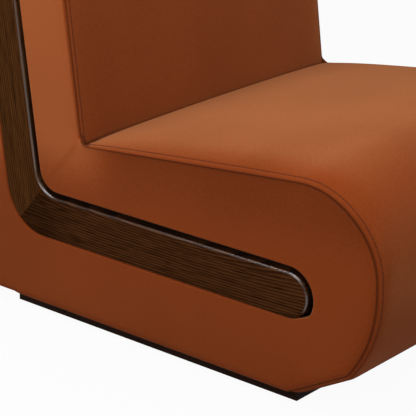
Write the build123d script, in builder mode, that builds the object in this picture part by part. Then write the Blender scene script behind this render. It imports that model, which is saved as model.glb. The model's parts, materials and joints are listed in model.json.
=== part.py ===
from build123d import *
import os
from math import atan2, cos, hypot, radians, sin, sqrt, tan

# Armless upholstered lounge chair. It stands on the floor at z = 0 and faces -Y, so the
# sitter's left is at +X. Lengths are in millimetres and angles in degrees.

# Upholstered body in side view
seat_width = 660.0  # side seam to side seam
seat_depth = 604.5  # crease to the front of the nose
seat_slope = 5.1
crease_height = 335.0
crease_radius = 22.0
nose_radius = 137.0
chin_rise = 121.0
chin_setback = 49.0
chin_height = 83.0
chin_radius = 160.0
chin_fillet = 14.0
undercut_angle = 29.0
toe_fillet = 25.0
back_recline = 7.0
back_rise = 426.0
back_thickness = 304.0
top_radius = 137.0
heel_radius = 50.0
fillet_margin = 1.0  # least straight run between two rounded corners
least_radius = 2.0

# Crown of the upholstery at mid width, over the line of the side seams
seat_crown_rear = 8.0
seat_crown_front = 24.0
back_crown_low = 6.0
back_crown_top = 16.0
nose_crown = 8.0
chin_crown = 4.0
undercut_crown = 2.0
top_crown = 8.0
rear_crown = 8.0
crown_power = 6  # how quickly the crown rises from the side seams
crown_stations = (20.0, 50.0, 100.0, 180.0)  # from the side seam, where the form is drawn

# Layers, from the velvet inwards
cover_thickness = 5.0  # velvet with its wadding
side_edge_round = 4.0
channel_edge_bevel = 2.0
soft_gap = 0.3
topper_thickness = 22.7
side_pad_thickness = 15.7
side_panel_thickness = 18.0
back_core_thickness = 80.0
rear_panel_thickness = 3.0
dust_cloth_thickness = 1.5
rear_seam_drop = 137.0  # from the top of the back down to the seam on its rear

# Wood inlay in each side
inlay_width = 76.0
inlay_proud = 1.0
inlay_edge_round = 5.0
inlay_gap = 8.0
inlay_inner_radius = 49.0
inlay_outer_radius = 85.0
rail_axis_height = 188.0
rail_nose_margin = 126.0
stile_axis_depth = 153.9
stile_top_margin = 128.0
liner_wall = 2.0
tongue_thickness = 4.0
tongue_length = 60.0
tongue_width = 30.0
tongue_clearance = 0.15
screw_end_margin = 70.0  # from the end of a wood piece to its first screw
screw_corner_margin = 150.0  # from the mitre to the last screw

# Plinth and glides
glide_height = 3.0
glide_diameter = 25.0
glide_pin_diameter = 4.0
glide_pin_length = 10.0
glide_corner_inset = 40.0
plinth_reveal = 18.0
plinth_inset = 12.0
plinth_lead = 4.8  # front face of the plinth ahead of the foot of the undercut
plinth_depth = 628.0
plinth_board = 80.0
plinth_screw_spread = 180.0  # across, from the middle
plinth_screw_margin = 210.0  # along the sides, from the ends of the plinth

# Frame members
rail_thickness = 22.0
seat_rail_height = 70.0
deck_height = 240.0
front_rail_margin = 3.0  # behind the foam, at the foot of the front rail
seat_back_rail_setback = 16.7
bottom_rail_height = 70.0
bottom_rail_margin = 3.0
bottom_rear_inset = 10.8
stretcher_height = 45.0
back_rail_height = 70.0
back_lower_rail_rise = 30.0
block_leg = 60.0
block_height = 60.0

# Seat springs and back webbing
spring_count = 4
spring_pitch = 130.0
spring_wire = 4.0
spring_half_width = 26.0
spring_bend = 14.0
spring_runs = 11
clip_length = 16.0
clip_width = 14.0
clip_height = 8.0
clip_clearance = 0.4
insulator_margin = 12.0
strap_count = 4
strap_pitch = 140.0
strap_width = 60.0
strap_thickness = 2.0
strap_lap = 40.0

# Screws, all of one size
screw_diameter = 4.0
screw_head_diameter = 8.0
screw_head_height = 3.0
screw_sides = 6
screw_bite = 12.0
screw_clearance = 0.3

# Levels and depths that follow from the sizes above
lean = radians(back_recline)
half_width = seat_width / 2
bottom_z = glide_height + plinth_reveal
frame_bottom = bottom_z + cover_thickness
plinth_top = frame_bottom - dust_cloth_thickness
frame_inset = cover_thickness + soft_gap + topper_thickness
frame_outer_x = half_width - soft_gap - side_pad_thickness
frame_inner_x = frame_outer_x - side_panel_thickness
cover_outer_x = half_width + cover_thickness
inlay_back_x = frame_outer_x + liner_wall
inlay_face_x = cover_outer_x + inlay_proud
top_fillet = min(top_radius, back_thickness / 2 - fillet_margin)
chin_length = hypot(chin_rise, chin_setback)
chin_tangent = chin_radius * tan(atan2(chin_setback, chin_rise) / 2)
nose_run = crease_height + seat_depth * tan(radians(seat_slope)) - chin_height - chin_rise
nose_tangent = nose_run - chin_tangent - fillet_margin
nose_fillet = min(nose_radius, nose_tangent / tan(radians(90 + seat_slope) / 2))
rear_reach = (back_rise - top_fillet) * sin(lean) + (back_thickness - top_fillet) * cos(lean) + top_fillet
crease_y = (seat_depth + nose_crown - rear_reach - rear_crown) / 2
nose_y = crease_y - seat_depth
far = 3 * (seat_depth + back_rise)  # well outside the chair


def run(normal, point, growth):
    """A straight run of the side view: its outward normal and its distance from the origin."""
    return normal, normal[0] * point[0] + normal[1] * point[1] + growth


def meet(first, second):
    """The corner where two runs cross."""
    (a, b), c = first
    (d, e), f = second
    det = a * e - b * d
    return (c * e - b * f) / det, (a * f - c * d) / det


def back_point(depth, rise):
    """A point behind the front line of the back and up along it, in side view."""
    return (
        crease_y + depth * cos(lean) + rise * sin(lean),
        crease_height + rise * cos(lean) - depth * sin(lean),
    )


def outline(crown=0.0, inset=0.0, bottom_inset=None):
    """Corners and radii of the side view, swollen by a share of the crown and drawn in by an inset."""
    seat_tilt = radians(seat_slope) + crown * atan2(seat_crown_front - seat_crown_rear, seat_depth)
    back_tilt = lean - crown * atan2(back_crown_top - back_crown_low, back_rise)
    undercut = radians(undercut_angle)
    chin = (nose_y + chin_setback, chin_height)
    foot_inset = inset if bottom_inset is None else bottom_inset
    runs = [
        run((0, -1), (0, bottom_z), -foot_inset),
        run((-sin(undercut), -cos(undercut)), chin, crown * undercut_crown - inset),
        run((-chin_rise / chin_length, -chin_setback / chin_length), chin, crown * chin_crown - inset),
        run((-1, 0), (nose_y, 0), crown * nose_crown - inset),
        run((sin(seat_tilt), cos(seat_tilt)), back_point(0, 0), crown * seat_crown_rear - inset),
        run((-cos(back_tilt), sin(back_tilt)), back_point(0, 0), crown * back_crown_low - inset),
        run((sin(lean), cos(lean)), back_point(0, back_rise), crown * top_crown - inset),
        run((cos(lean), -sin(lean)), back_point(back_thickness, 0), crown * rear_crown - inset),
    ]
    corners = [meet(first, second) for first, second in zip(runs, runs[1:] + runs[:1])]
    convex = [toe_fillet, chin_fillet, chin_radius, nose_fillet, None, top_fillet, top_fillet, heel_radius]
    radii = [crease_radius + inset if size is None else max(size - inset, least_radius) for size in convex]
    return corners, radii


def side_face(x, crown=0.0, inset=0.0, bottom_inset=None):
    """The side view as a face across the chair at x."""
    corners, radii = outline(crown, inset, bottom_inset)
    with BuildSketch(Plane.YZ.offset(x)) as face:
        with BuildLine():
            FilletPolyline(*corners, radius=radii, close=True)
        make_face()
    return face.sketch


def crowned_form(inset):
    """The whole upholstered body, crowned between its side seams and drawn in by an inset."""
    shares = []
    for distance in (0.0, *crown_stations, half_width):
        shares.append((half_width - distance, 1 - (1 - distance / half_width)**crown_power))
    stations = [(-x, share) for x, share in shares] + [(x, share) for x, share in reversed(shares[:-1])]
    with BuildPart() as form:
        loft([side_face(x, share, inset) for x, share in stations])
    return form.part


def region(*points):
    """A polygon in side view."""
    with BuildSketch(Plane.YZ) as area:
        with BuildLine():
            Polyline(*points, close=True)
        make_face()
    return area.sketch


def ribbon(x, grow=0.0):
    """The bent ribbon of the inlay at x, grown all round: a level rail and a stile along the back."""
    half = inlay_width / 2 + grow
    low = rail_axis_height - half
    high = rail_axis_height + half
    points = [
        (rail_end_y, low),
        (back_line_y(stile_axis_depth + half, low), low),
        back_point(stile_axis_depth + half, stile_end_rise),
        back_point(stile_axis_depth - half, stile_end_rise),
        (back_line_y(stile_axis_depth - half, high), high),
        (rail_end_y, high),
    ]
    radii = [0, inlay_outer_radius + grow, 0, 0, inlay_inner_radius - grow, 0]
    with BuildSketch(Plane.YZ.offset(x)) as shape:
        with BuildLine():
            FilletPolyline(*points, radius=radii, close=True)
        make_face()
        with Locations((rail_end_y, rail_axis_height), back_point(stile_axis_depth, stile_end_rise)):
            Circle(half)
    return shape.sketch


def back_line_y(depth, z):
    """Where the line parallel to the front of the back, this deep behind it, stands at height z."""
    return crease_y + (z - crease_height) * tan(lean) + depth / cos(lean)


def write(piece, name):
    """Labels a finished piece and writes it."""
    piece.label = name
    export_step(piece, f"parts/{name}.step")


def write_pair(piece, name):
    """Writes the sitter's left piece and its mirror image."""
    write(piece, f"{name}_left")
    write(mirror(piece, about=Plane.YZ), f"{name}_right")


os.makedirs("parts", exist_ok=True)

# Cuts in side view: the covers and the foam part at the crease and at a seam on the rear
bisector = (sin(lean) - cos(radians(seat_slope)), cos(lean) + sin(radians(seat_slope)))
bisector_length = hypot(*bisector)
bisector = (bisector[0] / bisector_length, bisector[1] / bisector_length)
seam_rise = back_rise - rear_seam_drop
seam_depth = 2 * frame_inset
plinth_front = outline()[0][0][0] - plinth_lead
plinth_rear = plinth_front + plinth_depth
bottom_front = outline(0.0, frame_inset, cover_thickness)[0][0][0] + bottom_rail_margin
bottom_rear = plinth_rear - bottom_rear_inset
seat_rail_foot = deck_height - seat_rail_height
chin_depth = chin_setback * (1 - (seat_rail_foot - chin_height) / chin_rise)
chin_inset = frame_inset * chin_length / chin_rise
front_rail_y = nose_y + max(frame_inset, chin_depth + chin_inset) + front_rail_margin

# Places of the screws
screw_hole = screw_diameter / 2 + screw_clearance
rail_end_y = nose_y + rail_nose_margin + inlay_width / 2
stile_end_rise = back_rise - stile_top_margin - inlay_width / 2
mitre_inner = (back_line_y(stile_axis_depth - inlay_width / 2, rail_axis_height + inlay_width / 2),
               rail_axis_height + inlay_width / 2)
mitre_outer = (back_line_y(stile_axis_depth + inlay_width / 2, rail_axis_height - inlay_width / 2),
               rail_axis_height - inlay_width / 2)
mitre_centre = ((mitre_inner[0] + mitre_outer[0]) / 2, rail_axis_height)
stile_corner_rise = (rail_axis_height - crease_height + stile_axis_depth * sin(lean)) / cos(lean)
inlay_screw_points = [
    (rail_end_y + screw_end_margin - inlay_width / 2, rail_axis_height),
    (mitre_centre[0] - screw_corner_margin, rail_axis_height),
    back_point(stile_axis_depth, stile_corner_rise + screw_corner_margin),
    back_point(stile_axis_depth, stile_end_rise + inlay_width / 2 - screw_end_margin),
]
plinth_rail_points = [(x, y) for x in (-plinth_screw_spread, plinth_screw_spread)
                      for y in (bottom_front + rail_thickness / 2, bottom_rear - rail_thickness / 2)]
plinth_side_points = [(frame_outer_x - side_panel_thickness / 2, y)
                      for y in (plinth_front + plinth_screw_margin, plinth_rear - plinth_screw_margin)]
plinth_screw_points = plinth_rail_points + [(sign * x, y) for sign in (-1, 1) for x, y in plinth_side_points]


def crease_point(reach, shift):
    """A point on the line that halves the crease, reach up out of it and shift towards the back."""
    y = crease_y + reach * bisector[0] + shift * bisector[1]
    z = crease_height + reach * bisector[1] - shift * bisector[0]
    return y, z


def seat_region(foot_y):
    """Everything below the crease and ahead of foot_y."""
    inner = crease_point(-seam_depth, -soft_gap / 2)
    outer = crease_point(far, -soft_gap / 2)
    return region(inner, outer, (-far, outer[1]), (-far, -far), (foot_y, -far), (foot_y, chin_height))


def back_region():
    """Everything above the crease and over the top to the rear seam."""
    rise = seam_rise + soft_gap / 2
    inner = crease_point(-seam_depth, soft_gap / 2)
    outer = crease_point(far, soft_gap / 2)
    rear = [back_point(back_thickness - seam_depth, rise), back_point(back_thickness + seam_depth, rise)]
    return region(inner, *rear, (far, outer[1]), outer)


def rear_region(foot_y):
    """Everything below the rear seam and behind foot_y."""
    rise = seam_rise - soft_gap / 2
    rear = [back_point(back_thickness + seam_depth, rise), back_point(back_thickness - seam_depth, rise)]
    return region((foot_y, -far), (far, -far), *rear, (foot_y, chin_height))


# Covers: the velvet skin between two crowned forms, sewn from three panels and two sides
cover_form = crowned_form(0.0)
cover_lining = crowned_form(cover_thickness)
foam_form = crowned_form(cover_thickness + soft_gap)

with BuildPart() as cover_skin:
    add(cover_form)
    add(cover_lining, mode=Mode.SUBTRACT)

with BuildPart() as seat_cover:
    add(cover_skin.part)
    extrude(seat_region(plinth_front - soft_gap), amount=half_width, both=True, mode=Mode.INTERSECT)
write(seat_cover.part, "seat_cover")

with BuildPart() as inside_back_cover:
    add(cover_skin.part)
    extrude(back_region(), amount=half_width, both=True, mode=Mode.INTERSECT)
write(inside_back_cover.part, "inside_back_cover")

with BuildPart() as outside_back_cover:
    add(cover_skin.part)
    extrude(rear_region(plinth_rear + soft_gap), amount=half_width, both=True, mode=Mode.INTERSECT)
write(outside_back_cover.part, "outside_back_cover")

with BuildPart() as side_cover:
    extrude(side_face(half_width), amount=cover_thickness)
    fillet(side_cover.faces().sort_by(Axis.X)[-1].edges(), side_edge_round)
    extrude(ribbon(half_width, inlay_gap), amount=cover_thickness, mode=Mode.SUBTRACT)
    channel_edge = side_cover.faces().sort_by(Axis.X)[-1].inner_wires()[0].edges()
    chamfer(channel_edge, channel_edge_bevel)
    hem_inner = half_width - plinth_inset + soft_gap
    with BuildSketch(Plane.XY.offset(bottom_z)):
        with Locations((hem_inner, plinth_front)):
            Rectangle(half_width - hem_inner, plinth_depth, align=Align.MIN)
    extrude(amount=cover_thickness)
write_pair(side_cover.part, "side_cover")

with BuildPart() as dust_cover:
    with BuildSketch(Plane.XY.offset(plinth_top)):
        with Locations((-frame_outer_x, bottom_front)):
            Rectangle(2 * frame_outer_x, plinth_rear - bottom_front, align=Align.MIN)
    extrude(amount=dust_cloth_thickness)
    with BuildSketch(Plane.XY.offset(plinth_top)):
        with Locations(*plinth_screw_points):
            Circle(screw_hole)
    extrude(amount=dust_cloth_thickness, mode=Mode.SUBTRACT)
write(dust_cover.part, "dust_cover")

# Foam: toppers between the velvet and the frame, side pads with the channel cut through, cores
with BuildPart() as foam_shell:
    add(foam_form)
    frame_face = side_face(0.0, 0.0, frame_inset, cover_thickness)
    extrude(frame_face, amount=half_width, both=True, mode=Mode.SUBTRACT)
    Box(2 * (frame_outer_x - soft_gap), 2 * far, 2 * far, mode=Mode.INTERSECT)

with BuildPart() as seat_topper:
    add(foam_shell.part)
    extrude(seat_region(bottom_front - soft_gap), amount=half_width, both=True, mode=Mode.INTERSECT)
write(seat_topper.part, "seat_topper")

with BuildPart() as back_topper:
    add(foam_shell.part)
    extrude(back_region(), amount=half_width, both=True, mode=Mode.INTERSECT)
write(back_topper.part, "back_topper")

rear_face_depth = back_thickness - frame_inset
rear_panel_low = (bottom_z + heel_radius - crease_height) / cos(lean)
back_plane = Plane(origin=(0, crease_y, crease_height), x_dir=(0, cos(lean), -sin(lean)), z_dir=(1, 0, 0))

with BuildPart() as rear_panel:
    with BuildSketch(back_plane):
        with Locations((rear_face_depth, rear_panel_low)):
            Rectangle(rear_panel_thickness, seam_rise - rear_panel_low, align=Align.MIN)
    extrude(amount=frame_outer_x, both=True)
write(rear_panel.part, "rear_panel")

with BuildPart() as rear_pad:
    add(foam_shell.part)
    extrude(rear_region(plinth_rear + soft_gap), amount=half_width, both=True, mode=Mode.INTERSECT)
    with BuildSketch(back_plane):
        with Locations((0, -far)):
            Rectangle(rear_face_depth + rear_panel_thickness + soft_gap, 2 * far, align=Align.MIN)
    extrude(amount=half_width, both=True, mode=Mode.SUBTRACT)
write(rear_pad.part, "rear_pad")

with BuildPart() as side_pad:
    add(foam_form)
    with Locations((frame_outer_x, 0, 0)):
        Box(side_pad_thickness, 2 * far, 2 * far, align=(Align.MIN, Align.CENTER, Align.CENTER),
            mode=Mode.INTERSECT)
    pad_channel = ribbon(frame_outer_x, inlay_gap + liner_wall + soft_gap)
    extrude(pad_channel, amount=side_pad_thickness, mode=Mode.SUBTRACT)

with BuildPart() as seat_side_pad:
    add(side_pad.part)
    below = [crease_point(reach, shift) for reach, shift in
             ((-far, -soft_gap / 2), (far, -soft_gap / 2), (far, -far), (-far, -far))]
    extrude(region(*below), amount=seat_width, mode=Mode.INTERSECT)
write_pair(seat_side_pad.part, "seat_side_pad")

with BuildPart() as back_side_pad:
    add(side_pad.part)
    above = [crease_point(reach, shift) for reach, shift in
             ((-far, soft_gap / 2), (far, soft_gap / 2), (far, far), (-far, far))]
    extrude(region(*above), amount=seat_width, mode=Mode.INTERSECT)
write_pair(back_side_pad.part, "back_side_pad")

core_inset = frame_inset + soft_gap
core_half = frame_inner_x - soft_gap
core_bottom = deck_height + clip_height + soft_gap
core_face = side_face(0.0, 0.0, core_inset, cover_thickness)
webbing_depth = core_inset + back_core_thickness + soft_gap

with BuildPart() as seat_core_foam:
    extrude(core_face, amount=core_half, both=True)
    with BuildSketch(back_plane):
        with Locations((core_inset - soft_gap, -far)):
            Rectangle(far, 2 * far, align=(Align.MAX, Align.MIN))
    extrude(amount=core_half, both=True, mode=Mode.INTERSECT)
    with Locations((0, 0, core_bottom)):
        Box(seat_width, 2 * far, far, align=(Align.CENTER, Align.CENTER, Align.MIN), mode=Mode.INTERSECT)
write(seat_core_foam.part, "seat_core_foam")

with BuildPart() as back_core_foam:
    extrude(core_face, amount=core_half, both=True)
    with BuildSketch(back_plane):
        with Locations((core_inset, -far)):
            Rectangle(back_core_thickness, 2 * far, align=Align.MIN)
    extrude(amount=core_half, both=True, mode=Mode.INTERSECT)
    with Locations((0, 0, core_bottom)):
        Box(seat_width, 2 * far, far, align=(Align.CENTER, Align.CENTER, Align.MIN), mode=Mode.INTERSECT)
write(back_core_foam.part, "back_core_foam")

# Frame: two plywood sides, solid rails between them and blocks in the corners
with BuildPart() as side_frame:
    extrude(side_face(frame_inner_x, 0.0, frame_inset, cover_thickness), amount=side_panel_thickness)
    with BuildSketch(Plane.YZ.offset(frame_inner_x)):
        with Locations(*inlay_screw_points):
            Circle(screw_hole)
    extrude(amount=side_panel_thickness, mode=Mode.SUBTRACT)
    with BuildSketch(Plane.XY.offset(frame_bottom)):
        with Locations(*plinth_side_points):
            Circle(screw_hole)
    extrude(amount=screw_bite + screw_clearance, mode=Mode.SUBTRACT)
write_pair(side_frame.part, "side_frame")

rail_sections = {
    "front_rail": (front_rail_y, seat_rail_foot, seat_rail_height),
    "seat_back_rail": (crease_y + seat_back_rail_setback, seat_rail_foot, seat_rail_height),
    "bottom_front_rail": (bottom_front, frame_bottom, bottom_rail_height),
    "bottom_rear_rail": (bottom_rear - rail_thickness, frame_bottom, bottom_rail_height),
}
for rail_name, (rail_y, rail_z, rail_height) in rail_sections.items():
    with BuildPart() as rail:
        with BuildSketch(Plane.YZ):
            with Locations((rail_y, rail_z)):
                Rectangle(rail_thickness, rail_height, align=Align.MIN)
        extrude(amount=frame_inner_x, both=True)
        if rail_z == frame_bottom:
            rail_screws = [(x, y) for x, y in plinth_rail_points if rail_y < y < rail_y + rail_thickness]
            with BuildSketch(Plane.XY.offset(frame_bottom)):
                with Locations(*rail_screws):
                    Circle(screw_hole)
            extrude(amount=screw_bite + screw_clearance, mode=Mode.SUBTRACT)
    write(rail.part, rail_name)

rail_front_depth = webbing_depth + strap_thickness
top_reach = sqrt((top_fillet - core_inset)**2 - (top_fillet - rail_front_depth)**2)
envelope_rise = back_rise - top_fillet + top_reach
for rail_name, rail_rise in (("back_top_rail", envelope_rise - back_rail_height),
                             ("back_lower_rail", back_lower_rail_rise)):
    with BuildPart() as rail:
        with BuildSketch(back_plane):
            with Locations((rail_front_depth, rail_rise)):
                Rectangle(rail_thickness, back_rail_height, align=Align.MIN)
        extrude(amount=frame_inner_x, both=True)
    write(rail.part, rail_name)

with BuildPart() as centre_stretcher:
    with BuildSketch(Plane.XY.offset(frame_bottom)):
        with Locations((0, bottom_front + rail_thickness)):
            Rectangle(rail_thickness, bottom_rear - bottom_front - 2 * rail_thickness,
                      align=(Align.CENTER, Align.MIN))
    extrude(amount=stretcher_height)
write(centre_stretcher.part, "centre_stretcher")

with BuildPart() as frame_corner_blocks:
    with BuildSketch(Plane.XY.offset(frame_bottom)):
        for x_sign in (-1, 1):
            for corner_y, y_sign in ((bottom_front + rail_thickness, 1), (bottom_rear - rail_thickness, -1)):
                corner_x = x_sign * frame_inner_x
                with BuildLine():
                    Polyline((corner_x, corner_y), (corner_x - x_sign * block_leg, corner_y),
                             (corner_x, corner_y + y_sign * block_leg), close=True)
                make_face()
    extrude(amount=block_height)
write(frame_corner_blocks.part, "frame_corner_blocks")

# Suspension: zigzag springs on clips under the seat, straps behind the back cushion
spring_z = deck_height + clip_height / 2
spring_front_y = front_rail_y + rail_thickness / 2
spring_rear_y = crease_y + seat_back_rail_setback + rail_thickness / 2
spring_step = (spring_rear_y - spring_front_y) / (spring_runs - 1)
spring_places = [(i - (spring_count - 1) / 2) * spring_pitch for i in range(spring_count)]

with BuildPart() as seat_springs:
    for spring_x in spring_places:
        zigzag = []
        for i in range(spring_runs):
            y = spring_front_y + i * spring_step
            side = spring_half_width if i % 2 else -spring_half_width
            straight = side - spring_bend if i % 2 else side + spring_bend
            zigzag += [(spring_x - straight, y), (spring_x + straight, y)]
            if i < spring_runs - 1:
                bend_y = y + spring_step - spring_bend
                zigzag += [(spring_x + side, y + spring_bend), (spring_x + side, bend_y)]
        with BuildLine(Plane.XY.offset(spring_z)) as wire_path:
            Polyline(*zigzag)
        with BuildSketch(Plane(origin=wire_path.line @ 0, z_dir=wire_path.line % 0)):
            Rectangle(spring_wire, spring_wire)
        sweep(path=wire_path.line, transition=Transition.RIGHT)
write(seat_springs.part, "seat_springs")

with BuildPart() as spring_clips:
    clip_points = [(x, y, deck_height) for x in spring_places for y in (spring_front_y, spring_rear_y)]
    with Locations(*clip_points):
        Box(clip_length, clip_width, clip_height, align=(Align.CENTER, Align.CENTER, Align.MIN))
    wire_slot = spring_wire + 2 * clip_clearance
    with Locations(*[(x, y, spring_z) for x, y, z in clip_points]):
        Box(clip_length, wire_slot, wire_slot, mode=Mode.SUBTRACT)
write(spring_clips.part, "spring_clips")

with BuildPart() as seat_insulator:
    felt_front = spring_front_y + clip_width / 2 + insulator_margin
    felt_rear = spring_rear_y - clip_width / 2 - insulator_margin
    felt_bottom = spring_z + spring_wire / 2 + soft_gap
    with BuildSketch(Plane.XY.offset(felt_bottom)):
        with Locations((0, felt_front)):
            Rectangle(2 * core_half, felt_rear - felt_front, align=(Align.CENTER, Align.MIN))
    extrude(amount=core_bottom - soft_gap - felt_bottom)
write(seat_insulator.part, "seat_insulator")

with BuildPart() as back_webbing:
    strap_low = back_lower_rail_rise + back_rail_height - strap_lap
    strap_high = envelope_rise - back_rail_height + strap_lap
    for i in range(strap_count):
        strap_x = (i - (strap_count - 1) / 2) * strap_pitch
        with BuildSketch(back_plane.offset(strap_x)):
            with Locations((webbing_depth, strap_low)):
                Rectangle(strap_thickness, strap_high - strap_low, align=Align.MIN)
        extrude(amount=strap_width / 2, both=True)
write(back_webbing.part, "back_webbing")

# Inlay: rail and stile mitred at the corner, in a lined channel, screwed on from inside
with BuildPart() as inlay:
    extrude(ribbon(inlay_back_x), amount=inlay_face_x - inlay_back_x)
    fillet(inlay.faces().sort_by(Axis.X)[-1].edges(), inlay_edge_round)
    with BuildSketch(Plane.YZ.offset(inlay_back_x)):
        with Locations(*inlay_screw_points):
            Circle(screw_hole)
    extrude(amount=screw_bite + screw_clearance, mode=Mode.SUBTRACT)

mitre_run = (mitre_inner[0] - mitre_outer[0], mitre_inner[1] - mitre_outer[1])
mitre_dir = (mitre_run[0] / hypot(*mitre_run), mitre_run[1] / hypot(*mitre_run))
corner_share = 1 / sin(radians(90 + back_recline) / 2) - 1
tongue_shift = corner_share * (inlay_inner_radius + inlay_outer_radius) / 2
tongue_x = (inlay_back_x + inlay_face_x - tongue_thickness) / 2
tongue_origin = (tongue_x, mitre_centre[0] + tongue_shift * mitre_dir[0],
                 mitre_centre[1] + tongue_shift * mitre_dir[1])
tongue_plane = Plane(origin=tongue_origin, x_dir=(0, *mitre_dir), z_dir=(1, 0, 0))

with BuildPart() as inlay_tongue:
    with BuildSketch(tongue_plane):
        Rectangle(tongue_length, tongue_width)
    extrude(amount=tongue_thickness)

with BuildPart() as tongue_slot:
    with BuildSketch(tongue_plane.offset(-tongue_clearance)):
        Rectangle(tongue_length + 2 * tongue_clearance, tongue_width + 2 * tongue_clearance)
    extrude(amount=tongue_thickness + 2 * tongue_clearance)


def mitre_side(sign):
    """The half of the side view on one side of the mitre: sign 1 holds the stile, -1 the rail."""
    across = (mitre_dir[1] * sign, -mitre_dir[0] * sign)
    near = [(mitre_centre[0] + reach * mitre_dir[0], mitre_centre[1] + reach * mitre_dir[1])
            for reach in (-far, far)]
    beyond = [(y + far * across[0], z + far * across[1]) for y, z in reversed(near)]
    return region(*near, *beyond)


for wood_name, sign in (("inlay_rail", -1), ("inlay_stile", 1)):
    with BuildPart() as wood:
        add(inlay.part)
        add(tongue_slot.part, mode=Mode.SUBTRACT)
        extrude(mitre_side(sign), amount=seat_width, mode=Mode.INTERSECT)
    write_pair(wood.part, wood_name)

with BuildPart() as inlay_tongues:
    add(inlay_tongue.part)
    mirror(about=Plane.YZ)
write(inlay_tongues.part, "inlay_tongues")

with BuildPart() as channel_liner:
    extrude(ribbon(frame_outer_x, inlay_gap + liner_wall), amount=side_pad_thickness)
    extrude(ribbon(inlay_back_x, inlay_gap), amount=side_pad_thickness, mode=Mode.SUBTRACT)
    with BuildSketch(Plane.YZ.offset(frame_outer_x)):
        with Locations(*inlay_screw_points):
            Circle(screw_hole)
    extrude(amount=liner_wall, mode=Mode.SUBTRACT)
write_pair(channel_liner.part, "channel_liner")

with BuildPart() as inlay_screws:
    with BuildSketch(Plane.YZ.offset(frame_inner_x)):
        with Locations(*inlay_screw_points):
            RegularPolygon(screw_diameter / 2, screw_sides)
    extrude(amount=inlay_back_x - frame_inner_x + screw_bite)
    with BuildSketch(Plane.YZ.offset(frame_inner_x)):
        with Locations(*inlay_screw_points):
            RegularPolygon(screw_head_diameter / 2, screw_sides)
    extrude(amount=-screw_head_height)
    mirror(about=Plane.YZ)
write(inlay_screws.part, "inlay_screws")

# Plinth: four mitred boards screwed up into the frame, on glides
plinth_half = half_width - plinth_inset
plinth_height = plinth_top - glide_height
plinth_mid_y = (plinth_front + plinth_rear) / 2
glide_x = plinth_half - glide_corner_inset
glide_reach = plinth_depth / 2 - glide_corner_inset
glide_points = [(x_sign * glide_x, plinth_mid_y + y_sign * glide_reach)
                for x_sign in (-1, 1) for y_sign in (-1, 1)]
glide_socket = glide_pin_diameter / 2 + screw_clearance
head_socket = screw_head_diameter / 2 + screw_clearance
head_seat = glide_height + screw_head_height + screw_clearance

with BuildPart() as plinth_frame:
    with BuildSketch(Plane.XY.offset(glide_height)):
        with Locations((0, plinth_mid_y)):
            Rectangle(2 * plinth_half, plinth_depth)
            Rectangle(2 * (plinth_half - plinth_board), plinth_depth - 2 * plinth_board, mode=Mode.SUBTRACT)
    extrude(amount=plinth_height)
    with Locations(*[(x, y, glide_height) for x, y in plinth_screw_points]):
        Cylinder(screw_hole, plinth_height, align=(Align.CENTER, Align.CENTER, Align.MIN), mode=Mode.SUBTRACT)
        Cylinder(head_socket, head_seat - glide_height, align=(Align.CENTER, Align.CENTER, Align.MIN),
                 mode=Mode.SUBTRACT)
    with Locations(*[(x, y, glide_height) for x, y in glide_points]):
        Cylinder(glide_socket, glide_pin_length + screw_clearance,
                 align=(Align.CENTER, Align.CENTER, Align.MIN), mode=Mode.SUBTRACT)

plinth_corner = plinth_half, plinth_depth / 2
plinth_bar = plinth_half - plinth_board, plinth_depth / 2 - plinth_board


def plinth_quarter(x_sign, y_sign, along_x):
    """Outline of one mitred board, seen from above."""
    flip = 1 if along_x else -1
    corners = [(x_sign * plinth_corner[0], plinth_mid_y + y_sign * plinth_corner[1])]
    corners.append((flip * x_sign * -plinth_corner[0], plinth_mid_y + flip * y_sign * plinth_corner[1]))
    corners.append((flip * x_sign * -plinth_bar[0], plinth_mid_y + flip * y_sign * plinth_bar[1]))
    corners.append((x_sign * plinth_bar[0], plinth_mid_y + y_sign * plinth_bar[1]))
    return corners


for board_name, x_sign, y_sign, along_x in (
    ("plinth_front_board", 1, -1, True),
    ("plinth_rear_board", 1, 1, True),
    ("plinth_side_board_left", 1, 1, False),
    ("plinth_side_board_right", -1, 1, False),
):
    with BuildPart() as board:
        add(plinth_frame.part)
        with BuildSketch():
            with BuildLine():
                Polyline(*plinth_quarter(x_sign, y_sign, along_x), close=True)
            make_face()
        extrude(amount=far, mode=Mode.INTERSECT)
    write(board.part, board_name)

with BuildPart() as plinth_screws:
    with BuildSketch(Plane.XY.offset(head_seat)):
        with Locations(*plinth_screw_points):
            RegularPolygon(screw_diameter / 2, screw_sides)
    extrude(amount=frame_bottom + screw_bite - head_seat)
    with BuildSketch(Plane.XY.offset(head_seat)):
        with Locations(*plinth_screw_points):
            RegularPolygon(screw_head_diameter / 2, screw_sides)
    extrude(amount=-screw_head_height)
write(plinth_screws.part, "plinth_screws")

with BuildPart() as floor_glides:
    with Locations(*[(x, y, 0) for x, y in glide_points]):
        Cylinder(glide_diameter / 2, glide_height, align=(Align.CENTER, Align.CENTER, Align.MIN))
        Cylinder(glide_pin_diameter / 2, glide_height + glide_pin_length,
                 align=(Align.CENTER, Align.CENTER, Align.MIN))
write(floor_glides.part, "floor_glides")
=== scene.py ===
import json
import math
import bpy
import numpy as np
from mathutils import Matrix, Vector


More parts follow.
